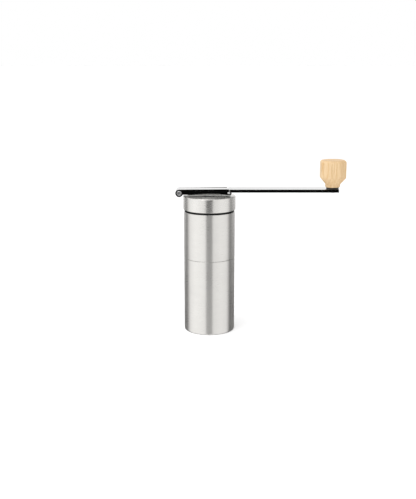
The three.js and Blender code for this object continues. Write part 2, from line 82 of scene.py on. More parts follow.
def from_bmesh(name, bm):
    bmesh.ops.recalc_face_normals(bm, faces=bm.faces)
    mesh = bpy.data.meshes.new(name)
    bm.to_mesh(mesh)
    bm.free()
    return link(name, mesh)


def shade_smooth(obj, angle=32):
    for polygon in obj.data.polygons:
        polygon.use_smooth = True
    obj.data.set_sharp_from_angle(angle=math.radians(angle))


def settle(obj):
    """Applies an object's modifiers to its mesh."""
    depsgraph = bpy.context.evaluated_depsgraph_get()
    mesh = bpy.data.meshes.new_from_object(obj.evaluated_get(depsgraph))
    obj.modifiers.clear()
    obj.data = mesh
    return obj


def boolean(obj, tool, operation):
    modifier = obj.modifiers.new("boolean", "BOOLEAN")
    modifier.operation = operation
    modifier.solver = "EXACT"
    modifier.object = tool
    settle(obj)
    bpy.data.objects.remove(tool)
    return obj


def bevel(obj, width, segments=3, angle=30):
    modifier = obj.modifiers.new("bevel", "BEVEL")
    modifier.width = width
    modifier.segments = segments
    modifier.limit_method = "ANGLE"
    modifier.angle_limit = math.radians(angle)
    modifier.miter_outer = "MITER_ARC"
    modifier.harden_normals = False
    return settle(obj)


def flatten_normals(obj):
    """Lets the large flat faces set the normals, so that they stay flat right up to their bevels."""
    modifier = obj.modifiers.new("normals", "WEIGHTED_NORMAL")
    modifier.mode = "FACE_AREA"
    modifier.weight = 100
    modifier.keep_sharp = True
    return settle(obj)


def finish_piece(obj, body, nodes, material, smooth=32, flat=False):
    """Rides a piece on its body, in place of its CAD nodes, with its material."""
    obj.data.materials.clear()
    obj.data.materials.append(material)
    shade_smooth(obj, smooth)
    if flat:
        flatten_normals(obj)
    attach(obj, body)
    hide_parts(*([nodes] if isinstance(nodes, str) else nodes))
    return obj


def fillet(points, closed, steps=5):
    """Rounds the corners of an outline of (r, z, radius) points, and adds a point just past each round."""
    count = len(points)
    result = []
    for i, (r, z, radius) in enumerate(points):
        here = Vector((r, z))
        if radius <= 0 or (not closed and i in (0, count - 1)):
            result.append(here)
            continue
        before = Vector(points[i - 1][:2]) - here
        after = Vector(points[(i + 1) % count][:2]) - here
        half = before.angle(after) / 2
        reach = min(radius / math.tan(half), before.length * 0.45, after.length * 0.45)
        radius = reach * math.tan(half)
        middle = here + (before.normalized() + after.normalized()).normalized() * (radius / math.sin(half))
        start = here + before.normalized() * reach - middle
        turn = start.angle_signed(here + after.normalized() * reach - middle)
        support = min(0.25 * reach, 0.1 * MM)
        result.append(middle + start + before.normalized() * support)
        for k in range(steps + 1):
            result.append(middle + Matrix.Rotation(-turn * k / steps, 2) @ start)
        result.append(here + after.normalized() * (reach + support))
    return result


def revolve(name, outline, sides=ROUND, at=(0, 0), along_y=False, steps=5, shape=None):
    """Turns an outline of (r, z, fillet radius) about Z, or about Y when along_y is set.
    It ends on the axis or closes on itself. shape(r, z, angle) may change a point's radius."""
    closed = outline[0][0] > 0
    points = fillet(outline, closed, steps)
    bm = bmesh.new()
    rings = []
    for point in points:
        if point.x < 1e-7:
            rings.append([bm.verts.new((0, 0, point.y))] * sides)
            continue
        ring = []
        for k in range(sides):
            angle = 2 * math.pi * k / sides
            r = shape(point.x, point.y, angle) if shape else point.x
            ring.append(bm.verts.new((r * math.cos(angle), r * math.sin(angle), point.y)))
        rings.append(ring)
    pairs = list(zip(rings, rings[1:])) + ([(rings[-1], rings[0])] if closed else [])
    for low, high in pairs:
        for k in range(sides):
            corners = [low[k], low[(k + 1) % sides], high[(k + 1) % sides], high[k]]
            corners = list(dict.fromkeys(corners))
            if len(corners) > 2:
                bm.faces.new(corners)
    if along_y:
        bmesh.ops.rotate(bm, verts=bm.verts, matrix=Matrix.Rotation(math.pi / 2, 3, "X"))
        bmesh.ops.translate(bm, verts=bm.verts, vec=(at[0], 0, at[1]))
    else:
        bmesh.ops.translate(bm, verts=bm.verts, vec=(at[0], at[1], 0))
    return from_bmesh(name, bm)


def prism(name, outline, low, high, axis="Z", holes=()):
    """An outline with holes, given a thickness along an axis. Along Y the outline is in X and Z, and along
    X it is in Y and Z."""
    bm = bmesh.new()
    for loop in (outline, *holes):
        verts = [bm.verts.new((a, b, 0)) for a, b in loop]
        for first, second in zip(verts, verts[1:] + verts[:1]):
            bm.edges.new((first, second))
    bmesh.ops.triangle_fill(bm, edges=bm.edges, use_beauty=True)
    bmesh.ops.dissolve_limit(bm, angle_limit=0.01, verts=bm.verts, edges=bm.edges)
    made = bmesh.ops.extrude_face_region(bm, geom=bm.faces[:])
    top = [g for g in made["geom"] if isinstance(g, bmesh.types.BMVert)]
    bmesh.ops.translate(bm, verts=top, vec=(0, 0, high - low))
    bmesh.ops.translate(bm, verts=bm.verts, vec=(0, 0, low))
    for vert in bm.verts:
        a, b, c = vert.co
        vert.co = {"Z": (a, b, c), "Y": (a, c, b), "X": (c, a, b)}[axis]
    return from_bmesh(name, bm)


def arc(x, z, radius, start, end, steps=16):
    """Points on an arc between two angles in degrees."""
    angles = [math.radians(start + (end - start) * k / steps) for k in range(steps + 1)]
    return [(x + radius * math.cos(a), z + radius * math.sin(a)) for a in angles]


def circle(x, z, radius, steps=48):
    return arc(x, z, radius, 0, 360, steps)[:-1]


# ---------------------------------------------------------------- material helpers


class Shader:
    """A material's node tree, with short calls to add and join nodes."""

    def __init__(self, name):
        self.material = bpy.data.materials.new(name)
        self.material.use_nodes = True
        self.tree = self.material.node_tree
        self.bsdf = self.tree.nodes["Principled BSDF"]

    def add(self, kind, *inputs, **settings):
        node = self.tree.nodes.new("ShaderNode" + kind)
        named = settings.pop("named", {})
        for key, value in settings.items():
            setattr(node, key, value)
        for key, value in [*enumerate(inputs), *named.items()]:
            self.feed(node.inputs[key], value)
        return node

    def feed(self, socket, value):
        if isinstance(value, bpy.types.Node):
            value = value.outputs[0]
        if isinstance(value, bpy.types.NodeSocket):
            self.tree.links.new(value, socket)
        elif value is not None:
            socket.default_value = value

    def math(self, operation, *values):
        return self.add("Math", *values, operation=operation).outputs[0]

    def vector(self, operation, *values):
        return self.add("VectorMath", *values, operation=operation).outputs[0]

    def noise(self, place, scale, detail=2.0, roughness=0.5, distortion=0.0):
        named = {"Vector": place, "Scale": scale, "Detail": detail, "Roughness": roughness,
                 "Distortion": distortion}
        return self.add("TexNoise", named=named).outputs["Fac"]

    def fit(self, value, low, high, to_low, to_high, smooth=False):
        kind = "SMOOTHSTEP" if smooth else "LINEAR"
        return self.add("MapRange", value, low, high, to_low, to_high, interpolation_type=kind).outputs[0]

    def mix(self, factor, first, second, blend="MIX"):
        node = self.tree.nodes.new("ShaderNodeMix")
        node.data_type, node.blend_type = "RGBA", blend
        self.feed(node.inputs["Factor"], factor)
        self.feed(node.inputs["A"], (*first, 1) if isinstance(first, tuple) else first)
        self.feed(node.inputs["B"], (*second, 1) if isinstance(second, tuple) else second)
        return node.outputs["Result"]

    def ramp(self, factor, *stops):
        node = self.add("ValToRGB", factor)
        elements = node.color_ramp.elements
        while len(elements) < len(stops):
            elements.new(0.5)
        for element, (place, colour) in zip(elements, stops):
            element.position = place
            element.color = (*colour, 1)
        return node.outputs["Color"]

    def millimetres(self):
        """The point on the piece, in millimetres in the shared frame."""
        place = self.add("TexCoord").outputs["Object"]
        return self.add("VectorMath", place, operation="SCALE", named={"Scale": 1000.0}).outputs[0]

    def bump(self, height, strength, distance, normal=None):
        named = {"Height": height, "Strength": strength, "Distance": distance, "Normal": normal}
        return self.add("Bump", named=named).outputs[0]

    def set(self, **values):
        """Sets or links the main shader's sockets; a word's underscores stand for spaces."""
        for key, value in values.items():
            if isinstance(value, tuple) and len(value) == 3:
                value = (*value, 1)
            self.feed(self.bsdf.inputs[key.replace("_", " ")], value)
        return self.material


def turned_place(s, axis_x=0.0, around=3.0, along=1.0):
    """Coordinates that run round an upright axis, so that noise drawn on them makes fine turning lines."""
    x, y, z = s.add("SeparateXYZ", s.millimetres()).outputs
    x = s.math("SUBTRACT", x, axis_x)
    radius = s.math("MAXIMUM", s.math("SQRT", s.math("ADD", s.math("MULTIPLY", x, x),
                                                     s.math("MULTIPLY", y, y))), 0.01)
    cosine = s.math("MULTIPLY", s.math("DIVIDE", x, radius), around)
    sine = s.math("MULTIPLY", s.math("DIVIDE", y, radius), around)
    rise = s.math("MULTIPLY", s.math("ADD", z, radius), along)
    return s.add("CombineXYZ", cosine, sine, rise).outputs[0]


def brushed_steel(name, base=(0.83, 0.815, 0.785), roughness=0.29, lines=0.05, anisotropic=0.93, top=1.0):
    """Stainless steel brushed round the body: streaks of three widths in tone, gloss and height. Faces that
    look up have their roughness multiplied by top."""
    s = Shader(name)
    fine = s.noise(turned_place(s, around=9, along=14), 1.0, 3.0, 0.65)
    middle = s.noise(turned_place(s, around=5, along=2.6), 1.0, 4.0, 0.6)
    broad = s.noise(turned_place(s, around=2.2, along=0.22), 1.0, 3.0, 0.5)
    smudge = s.noise(s.millimetres(), 0.045, 4.0, 0.6, 0.6)
    streak = s.math("ADD", s.math("MULTIPLY", fine, 0.5), s.math("MULTIPLY", middle, 0.5))
    tone = s.math("ADD", s.math("MULTIPLY", streak, 0.7), s.math("MULTIPLY", broad, 0.3))
    dark = tuple(c * (1 - lines) for c in base)
    light = tuple(min(1.0, c * (1 + lines)) for c in base)
    colour = s.mix(s.fit(tone, 0.3, 0.7, 0, 1), dark, light)
    gloss = s.math("ADD", s.fit(streak, 0.3, 0.7, roughness - 0.05, roughness + 0.06),
                   s.fit(smudge, 0.4, 0.7, 0, 0.035, smooth=True))
    upward = s.add("SeparateXYZ", s.add("NewGeometry").outputs["Normal"]).outputs[2]
    gloss = s.math("MULTIPLY", gloss, s.fit(upward, 0.6, 0.95, 1.0, top))
    tangent = s.add("Tangent", direction_type="RADIAL", axis="Z").outputs[0]
    normal = s.bump(middle, 0.08, 0.00002)
    return s.set(Base_Color=colour, Metallic=1.0, Roughness=gloss, Anisotropic=anisotropic,
                 Anisotropic_Rotation=0.25, Tangent=tangent, Normal=normal)


def polished_steel(name, base=(0.82, 0.82, 0.815)):
    """Mirror-polished sheet with faint wipe marks and soft waviness. Faces that look down get painted shade:
    their colour is painted near black, and they are also made duller.
    """
    s = Shader(name)
    place = s.millimetres()
    x, y, z = s.add("SeparateXYZ", place).outputs
    along = s.add("CombineXYZ", s.math("MULTIPLY", x, 0.12), s.math("MULTIPLY", y, 3.0),
                  s.math("MULTIPLY", z, 3.0)).outputs[0]
    wipe = s.noise(along, 1.0, 4.0, 0.6)
    haze = s.noise(place, 0.09, 4.0, 0.55, 0.8)
    colour = s.mix(s.fit(wipe, 0.35, 0.65, 0, 1), tuple(c * 0.94 for c in base), base)
    gloss = s.math("ADD", s.fit(wipe, 0.35, 0.7, 0.03, 0.06), s.fit(haze, 0.45, 0.75, 0, 0.04))
    facing = s.add("SeparateXYZ", s.add("NewGeometry").outputs["Normal"]).outputs[2]
    # painted shade: faces that look down have their colour pushed to near black to stand in for the shade
    # under the sheet, and their roughness raised
    painted_underside_shade = s.fit(facing, -0.3, -0.85, 0.0, 1.0)
    colour = s.mix(painted_underside_shade, colour, (0.06, 0.06, 0.06))
    gloss = s.math("ADD", gloss, s.math("MULTIPLY", painted_underside_shade, 0.3))
    normal = s.bump(wipe, 0.01, 0.00001)
    return s.set(Base_Color=colour, Metallic=1.0, Roughness=gloss, Normal=normal)


def turned_steel(name, axis_x=0.0, base=(0.58, 0.585, 0.59), roughness=0.27):
    """Plain machined steel with lathe lines round an upright axis."""
    s = Shader(name)
    rings = s.noise(turned_place(s, axis_x, around=1.5, along=9), 1.0, 3.0, 0.6)
    patch = s.noise(s.millimetres(), 0.4, 4.0, 0.6)
    colour = s.mix(s.fit(s.math("ADD", s.math("MULTIPLY", rings, 0.6), s.math("MULTIPLY", patch, 0.4)),
                         0.35, 0.65, 0, 1), tuple(c * 0.82 for c in base), base)
    gloss = s.fit(rings, 0.3, 0.7, roughness - 0.06, roughness + 0.1)
    return s.set(Base_Color=colour, Metallic=1.0, Roughness=gloss, Normal=s.bump(rings, 0.2, 0.00003))


def brass(name):
    s = Shader(name)
    rings = s.noise(turned_place(s, around=1.2, along=8), 1.0, 3.0, 0.6)
    patina = s.noise(s.millimetres(), 0.5, 5.0, 0.6)
    colour = s.mix(s.fit(patina, 0.35, 0.7, 0, 1), (0.72, 0.52, 0.25), (0.5, 0.34, 0.15))
    return s.set(Base_Color=colour, Metallic=1.0, Roughness=s.fit(rings, 0.3, 0.7, 0.24, 0.42),
                 Normal=s.bump(rings, 0.2, 0.00003))


def black_plastic(name, base=(0.018, 0.018, 0.019)):
    """Matt black moulding with a fine spark-eroded grain and faint handling sheen."""
    s = Shader(name)
    place = s.millimetres()
    grain = s.add("TexVoronoi", named={"Vector": place, "Scale": 5.0}).outputs["Distance"]
    cloud = s.noise(place, 0.15, 4.0, 0.6)
    colour = s.mix(cloud, base, tuple(c * 1.6 for c in base))
    gloss = s.math("ADD", s.fit(cloud, 0.35, 0.7, 0.42, 0.55), s.fit(grain, 0, 0.8, 0, 0.08))
    return s.set(Base_Color=colour, Roughness=gloss, Specular_IOR_Level=0.45,
                 Normal=s.bump(grain, 0.25, 0.00006))


def black_rubber(name):
    """Matt silicone with light dust in its fine texture."""
    s = Shader(name)
    place = s.millimetres()
    grain = s.noise(place, 7.0, 3.0, 0.6)
    dust = s.fit(s.noise(place, 0.6, 5.0, 0.7), 0.52, 0.8, 0, 0.35)
    colour = s.mix(dust, (0.008, 0.008, 0.008), (0.03, 0.03, 0.029))
    return s.set(Base_Color=colour, Roughness=s.fit(grain, 0.3, 0.7, 0.62, 0.8), Specular_IOR_Level=0.3,
                 Normal=s.bump(grain, 0.2, 0.00004))


def white_nylon(name):
    s = Shader(name)
    place = s.millimetres()
    cloud = s.noise(place, 0.5, 4.0, 0.6)
    grain = s.noise(place, 6.0, 3.0, 0.6)
    colour = s.mix(cloud, (0.74, 0.72, 0.66), (0.86, 0.845, 0.8))
    return s.set(Base_Color=colour, Roughness=s.fit(grain, 0.3, 0.7, 0.4, 0.52), Subsurface_Weight=0.08,
                 Subsurface_Scale=0.002, Normal=s.bump(grain, 0.1, 0.00003))


def ceramic(name):
    """Unglazed off-white ceramic: fine sinter grain, with a faint coffee stain low in the teeth."""
    s = Shader(name)
    place = s.millimetres()
    grain = s.noise(place, 5.0, 5.0, 0.7)
    stain = s.fit(s.noise(place, 0.35, 5.0, 0.65, 0.4), 0.55, 0.8, 0, 0.5)
    white = s.mix(s.noise(place, 1.2, 4.0), (0.83, 0.81, 0.76), (0.9, 0.885, 0.85))
    colour = s.mix(stain, white, (0.66, 0.58, 0.47))
    return s.set(Base_Color=colour, Roughness=s.fit(grain, 0.3, 0.7, 0.42, 0.6), Specular_IOR_Level=0.5,
                 Normal=s.bump(grain, 0.25, 0.00004))


def knob_wood(name, axis_x):
    """Pale straight-grained wood, its grain upright: growth bands, long fibres, pores and end grain."""
    s = Shader(name)
    heartwood = (axis_x - 34.0, -21.0, 0.0)
    place = s.vector("SUBTRACT", s.millimetres(), heartwood)
    x, y, z = s.add("SeparateXYZ", place).outputs
    sway = s.noise(s.add("CombineXYZ", s.math("MULTIPLY", x, 0.05), s.math("MULTIPLY", y, 0.05),
                         s.math("MULTIPLY", z, 0.022)).outputs[0], 1.0, 3.0, 0.5)
    bent = s.vector("ADD", place, s.add("CombineXYZ", s.math("MULTIPLY", sway, 7.0),
                                        s.math("MULTIPLY", sway, 5.0), 0.0).outputs[0])
    bx, by, _ = s.add("SeparateXYZ", bent).outputs
    radius = s.math("SQRT", s.math("ADD", s.math("MULTIPLY", bx, bx), s.math("MULTIPLY", by, by)))
    phase = s.math("FRACT", s.math("MULTIPLY", radius, 0.42))
    late = s.math("POWER", phase, 3.0)
    edge = s.fit(phase, 0.94, 1.0, 1.0, 0.0)
    growth = s.math("MULTIPLY", late, edge)
    fibre_place = s.add("CombineXYZ", s.math("MULTIPLY", x, 2.6), s.math("MULTIPLY", y, 2.6),
                        s.math("MULTIPLY", z, 0.11)).outputs[0]
    fibre = s.noise(fibre_place, 1.0, 5.0, 0.62)
    broad = s.noise(s.add("CombineXYZ", s.math("MULTIPLY", x, 0.28), s.math("MULTIPLY", y, 0.28),
                          s.math("MULTIPLY", z, 0.02)).outputs[0], 1.0, 2.0, 0.5)
    pore_place = s.add("CombineXYZ", s.math("MULTIPLY", x, 3.4), s.math("MULTIPLY", y, 3.4),
                       s.math("MULTIPLY", z, 0.5)).outputs[0]
    pores = s.fit(s.noise(pore_place, 1.0, 2.0, 0.5), 0.66, 0.76, 0.0, 1.0, smooth=True)
    base = s.mix(s.fit(broad, 0.35, 0.65, 0, 1, smooth=True), (0.66, 0.42, 0.19), (0.75, 0.52, 0.275))
    base = s.mix(s.math("MULTIPLY", growth, 0.85), base, (0.62, 0.33, 0.1))
    base = s.mix(s.fit(fibre, 0.38, 0.62, 0.0, 0.65), base, (0.92, 0.72, 0.47))
    base = s.mix(s.math("MULTIPLY", pores, 0.35), base, (0.52, 0.33, 0.15))
    normal_z = s.math("ABSOLUTE", s.add("SeparateXYZ", s.add("NewGeometry").outputs["Normal"]).outputs[2])
    end_grain = s.fit(normal_z, 0.55, 0.95, 0.0, 0.3, smooth=True)
    base = s.mix(end_grain, base, (0.6, 0.36, 0.15))
    raised = s.math("ADD", s.math("MULTIPLY", fibre, 0.5), s.math("MULTIPLY", growth, 0.3))
    height = s.math("SUBTRACT", raised, s.math("MULTIPLY", pores, 0.6))
    gloss = s.math("ADD", s.fit(fibre, 0.3, 0.7, 0.4, 0.54), s.math("MULTIPLY", pores, 0.15))
    return s.set(Base_Color=base, Roughness=gloss, Specular_IOR_Level=0.42, Coat_Weight=0.06,
                 Coat_Roughness=0.35, Normal=s.bump(height, 0.35, 0.00006))


MATERIALS = {
    "body": brushed_steel("body_brushed_steel"),
    "lid": brushed_steel("lid_brushed_steel", roughness=0.25, lines=0.04, anisotropic=0.6, top=1.1),
    "crank": polished_steel("crank_polished_steel"),
    "steel": turned_steel("hardware_turned_steel"),
    "knob_steel": turned_steel("spindle_turned_steel", axis_x=centre_of("knob_spindle").x / MM),
    "brass": brass("bushing_brass"),
    "plastic": black_plastic("black_plastic"),
    "rubber": black_rubber("black_silicone"),
    "nylon": white_nylon("white_nylon"),
    "ceramic": ceramic("burr_ceramic"),
    "wood": knob_wood("knob_wood", centre_of("crank_knob").x / MM),
}

# ---------------------------------------------------------------- camera, floor and light

VIEW_DISTANCE = 0.8
VIEW_PITCH = math.radians(13.2)
VIEW_TARGET = Vector((-0.0014, 0, 0.0818))
LENS = 57.7
FLOOR_RADIUS = 60.0  # large enough for its edge to be past the horizon


def make_camera():
    data = bpy.data.cameras.new("camera")
    data.lens = LENS
    data.clip_start = 0.02
    obj = bpy.data.objects.new("camera", data)
    bpy.context.scene.collection.objects.link(obj)
    back = Vector((0, -math.cos(VIEW_PITCH), math.sin(VIEW_PITCH)))
    obj.location = VIEW_TARGET + back * VIEW_DISTANCE
    obj.rotation_euler = (-back).to_track_quat("-Z", "Y").to_euler()
    bpy.context.scene.camera = obj


def make_floor():
    bm = bmesh.new()
    bmesh.ops.create_circle(bm, cap_ends=True, segments=96, radius=FLOOR_RADIUS)
    floor = from_bmesh("floor", bm)
    s = Shader("pale_floor")
    cloud = s.noise(s.millimetres(), 0.004, 2.0)
    s.set(Base_Color=s.mix(cloud, (0.93, 0.93, 0.93), (0.95, 0.95, 0.95)), Roughness=0.9,
          Specular_IOR_Level=0.1, Emission_Color=(1.0, 1.0, 1.0), Emission_Strength=0.25)
    floor.data.materials.append(s.material)
    floor.visible_glossy = False


def levels(*stops):
    """Grey ramp stops from (place, level) pairs."""
    return [(place, (level, level, level)) for place, level in stops]


def by_bearing(*stops):
    """Ramp stops from (degrees to the right of the camera, level) pairs."""
    return levels(*[((degrees + 180) / 360, level) for degrees, level in stops])


def make_world():
    """Soft studio surround: a wide white box on each side, a gap round the camera that is dark above and
    paler near the floor, dark flags at the far sides, and a white ceiling. The camera sees plain white."""
    s = Shader("studio_surround")
    world = bpy.data.worlds.new("studio")
    bpy.context.scene.world = world
    world.use_nodes = True
    s.tree = world.node_tree
    s.tree.nodes.clear()
    x, y, z = s.add("SeparateXYZ", s.add("TexCoord").outputs["Generated"]).outputs
    bearing = s.math("ARCTAN2", x, s.math("MULTIPLY", y, -1.0))
    turn = s.fit(bearing, -math.pi, math.pi, 0.0, 1.0)
    lower = s.ramp(turn, *by_bearing(
        (-180, 0.04), (-135, 0.09), (-122, 0.22), (-112, 0.38), (-99, 0.95), (-67, 1.12), (-30, 0.95),
        (-16, 0.78), (16, 0.78), (50, 0.92), (80, 0.88), (90, 0.82), (101, 0.3), (109, 0.0), (135, 0.0),
        (180, 0.0)))
    upper = s.ramp(turn, *by_bearing(
        (-180, 0.9), (-142, 0.95), (-132, 0.5), (-118, 0.25), (-108, 0.9), (-67, 1.12), (-30, 0.95),
        (-16, 0.78), (16, 0.78), (50, 0.98), (80, 0.94), (92, 0.85), (104, 0.55), (120, 0.78), (140, 1.0),
        (180, 0.9)))
    below = s.ramp(turn, *by_bearing(
        (-180, 0.1), (-125, 0.2), (-104, 1.0), (94, 1.0), (108, 0.1), (180, 0.0)))
    rise = s.fit(z, -0.188, -0.176, 0.0, 1.0, smooth=True)
    sides = s.mix(rise, lower, upper)
    sides = s.mix(s.fit(z, -0.36, -0.6, 0.0, 1.0, smooth=True), sides, below)
    above = s.ramp(turn, *by_bearing(
        (-180, 1.0), (92, 1.0), (104, 0.3), (145, 0.3), (162, 1.0), (180, 1.0)))
    surround = s.mix(s.fit(z, 0.1, 0.3, 0.0, 1.0, smooth=True), sides, above)
    offset = s.math("ABSOLUTE", s.math("SUBTRACT", bearing, math.radians(-0.5)))
    gap = s.fit(offset, math.radians(13.5), math.radians(15.0), 1.0, 0.0)
    gap_level = s.ramp(s.fit(z, -0.18, -0.48, 0.0, 1.0), *levels(
        (0.0, 0.003), (0.12, 0.06), (0.35, 0.5), (1.0, 0.85)))
    surround = s.mix(gap, surround, gap_level)
    light = s.add("Background", surround, 1.0)
    backdrop = s.add("Background", (1.0, 1.0, 1.0, 1.0), 1.0)
    seen = s.add("LightPath").outputs["Is Camera Ray"]
    both = s.add("MixShader", seen, light, backdrop)
    s.feed(s.add("OutputWorld").inputs["Surface"], both)


def make_key_light():
    data = bpy.data.lights.new("overhead_softbox", "AREA")
    data.shape = "RECTANGLE"
    data.size, data.size_y = 0.9, 0.7
    data.energy = 5.0
    obj = bpy.data.objects.new("overhead_softbox", data)
    bpy.context.scene.collection.objects.link(obj)
    obj.location = (-0.25, -0.35, 1.1)
    obj.rotation_euler = (Vector((0, 0, 0.1)) - obj.location).to_track_quat("-Z", "Y").to_euler()


make_camera()
make_floor()
make_world()
make_key_light()
bpy.context.scene.view_settings.view_transform = "Standard"

# ---------------------------------------------------------------- lower cup and upper body

WALL = 1.0 * MM
HAIR = 0.12 * MM  # the small round on a sheared or turned edge


def grounds_cup():
    low, high = span("grounds_cup")
    outer, inner = high.x, high.x - WALL
    outline = [
        (0, WALL, 0), (inner, WALL, 1.3 * MM), (inner, high.z, HAIR), (outer, high.z, 0.2 * MM),
        (outer, 0, 1.35 * MM), (0, 0, 0),
    ]
    shell = revolve("cup_shell", outline, steps=8)
    finish_piece(shell, "cup", "grounds_cup", MATERIALS["body"])


def sleeve(name, node, body, material, inner, round_edge=0.2 * MM, sides=ROUND):
    """A plain tube in a node's box, with its edges rounded. inner is the bore's radius."""
    low, high = span(node)
    centre = (low + high) / 2
    outer = (high.x - low.x) / 2
    outline = [
        (inner, low.z, round_edge), (outer, low.z, round_edge), (outer, high.z, round_edge),
        (inner, high.z, round_edge),
    ]
    tube = revolve(name, outline, sides, at=(centre.x, centre.y))
    return finish_piece(tube, body, node, MATERIALS[material])


def upper_body():
    radius = span("hopper_tube")[1].x
    sleeve("hopper_shell", "hopper_tube", "hopper", "body", radius - WALL, 0.2 * MM)
    ring = span("cup_seal")[1].x
    sleeve("neck_ring", "cup_seal", "hopper", "rubber", ring - MM, 0.45 * MM)


# ---------------------------------------------------------------- lid


def lid():
    low, high = span("lid_shell")
    radius, wall, hole = high.x, 0.7 * MM, 6.2 * MM
    outline = [
        (hole, high.z - wall, HAIR), (radius - wall, high.z - wall, 0.3 * MM), (radius - wall, low.z, HAIR),
        (radius, low.z, 0.2 * MM), (radius, high.z, 0.45 * MM), (hole, high.z, 0.25 * MM),
    ]
    finish_piece(revolve("lid_cap", outline, steps=7), "lid", "lid_shell", MATERIALS["lid"])

    low, high = span("lid_liner")
    shell_low = span("lid_shell")[0].z
    outer, plug, plug_wall, ceiling = high.x, 22.0 * MM, 1.5 * MM, high.z - 1.5 * MM
    boss, bore, boss_low = 7.8 * MM, 5.2 * MM, high.z - 9.5 * MM
    outline = [
        (bore, high.z, HAIR), (outer, high.z, 0.3 * MM), (outer, shell_low + 0.1 * MM, 0.3 * MM),
        (plug, shell_low + 0.1 * MM, 0.3 * MM), (plug, low.z, 0.5 * MM), (plug - plug_wall, low.z, 0.4 * MM),
        (plug - plug_wall, ceiling, 1.2 * MM), (boss, ceiling, 0.8 * MM), (boss, boss_low, 0.4 * MM),
        (bore, boss_low, 0.4 * MM),
    ]
    liner = revolve("lid_inner", outline)
    finish_piece(liner, "lid", "lid_liner", MATERIALS["plastic"])
    sleeve("lid_seal", "lid_gasket", "lid", "rubber", 22.2 * MM, 0.7 * MM)


# ---------------------------------------------------------------- crank


WEB_LEFT = -21.5 * MM  # where the channel's web starts, clear of the hinge
WEB_GAP = 1.0 * MM  # between the lid and the channel
BAR = 3.0 * MM  # the arm's thickness
SHEET = 1.4 * MM  # the channel's thickness
PIN_HOLE = 2.1 * MM


def web_bottom():
    return span("lid_shell")[1].z + WEB_GAP


def channel_section(half, top):
    """Cross-section of the folded channel in Y and Z, open at the top."""
    web, bend, tight, inner = web_bottom(), 0.7 * MM, 0.3 * MM, half - SHEET
    floor = web + SHEET + tight
    return [
        (-half, top), *arc(-half + bend, web + bend, bend, 180, 270, 8),
        *arc(half - bend, web + bend, bend, 270, 360, 8), (half, top), (inner, top),
        *arc(inner - tight, floor, tight, 0, -90, 4), *arc(-inner + tight, floor, tight, 270, 180, 4),
        (-inner, top),
    ]


def channel_side(low, high, web_end):
    """Side outline that the channel is trimmed to: long low cheeks with a round ear at the hinge."""
    web, ear = web_bottom(), PIN_X - low.x
    end_top, end_low, corner, notch = 17.4 * MM, 17.9 * MM, 0.5 * MM, web + MM
    return [
        (WEB_LEFT, web - MM), (web_end, web - MM), (web_end, web + SHEET), (end_low, web + SHEET),
        *arc(end_top - corner, high.z - corner, corner, 5, 90, 4),
        *arc(PIN_X, PIN_Z, ear, 90, 314, 40), (PIN_X + 3.5 * MM, notch - 0.2 * MM),
        (PIN_X + 4.2 * MM, notch), *arc(WEB_LEFT, notch - corner, corner, 90, 0, 3),
    ]


def crank_bracket():
    """Folded and mirror-polished channel whose web curls up to a lip under the arm."""
    low, high = span("crank_bracket")
    web, half, curl, inner = web_bottom(), high.y, 2.0 * MM, high.y - SHEET
    corner = high.x - curl
    channel = prism("bracket_channel", channel_section(half, high.z + MM), low.x - MM, high.x, "X")
    ear_end = WEB_LEFT - 2 * MM
    ear_blank = [
        (low.x - MM, low.z - MM), (ear_end, low.z - MM), (ear_end, web + 3 * MM), (low.x - MM, web + 3 * MM),
    ]
    for near, far in ((-half, -inner), (inner, half)):
        boolean(channel, prism("ear", ear_blank, near, far, "Y"), "UNION")
    trim = channel_side(low, high, corner)
    pin_hole = circle(PIN_X, PIN_Z, PIN_HOLE)
    boolean(channel, prism("trim", trim, -half - MM, half + MM, "Y", [pin_hole]), "INTERSECT")
    lip_top = span("crank_arm")[1].z - BAR - 0.1 * MM
    lip = [
        (corner - MM, web), *arc(corner, web + curl, curl, 270, 360, 10), (high.x, lip_top),
        (high.x - SHEET, lip_top), *arc(corner, web + curl, curl - SHEET, 360, 270, 6),
        (corner - MM, web + SHEET),
    ]
    boolean(channel, prism("lip", lip, -inner, inner, "Y"), "UNION")
    hinge_room = [(low.x - MM, -inner), (WEB_LEFT, -inner), (WEB_LEFT, inner), (low.x - MM, inner)]
    boolean(channel, prism("hinge_room", hinge_room, web - MM, web + 3 * MM), "DIFFERENCE")
    boolean(channel, prism("hub_hole", circle(0, 0, 3.9 * MM), web - MM, web + 3 * MM), "DIFFERENCE")
    bevel(channel, 0.08 * MM, 3, 35)
    finish_piece(channel, "handle", "crank_bracket", MATERIALS["crank"], flat=True)


def crank_arm():
    low, high = span("crank_arm")
    bar_low, eye = high.z - BAR, high.z - PIN_Z
    step, half, narrow, corner, slant = 18.9 * MM, high.y, 6.3 * MM, 0.4 * MM, 0.8 * MM
    start = math.degrees(math.asin((bar_low - PIN_Z) / eye))
    side = [(step + 3 * MM, bar_low), *arc(PIN_X, PIN_Z, eye, start, -270, 40), (step + 3 * MM, high.z)]
    arm = prism("arm_bar", side, -narrow, narrow, "Y", [circle(PIN_X, PIN_Z, PIN_HOLE)])
    plan = [
        (step, -half + slant), (step + slant, -half),
        *arc(high.x - corner, -half + corner, corner, -90, 0, 10),
        *arc(high.x - corner, half - corner, corner, 0, 90, 10),
        (step + slant, half), (step, half - slant),
    ]
    knob_x = centre_of("knob_spindle").x
    bar = prism("arm_wide", plan, bar_low, high.z, "Z", [circle(knob_x, 0, 2.7 * MM)])
    boolean(arm, bar, "UNION")
    bevel(arm, 0.08 * MM, 3, 35)
    finish_piece(arm, "arm", "crank_arm", MATERIALS["crank"], flat=True)


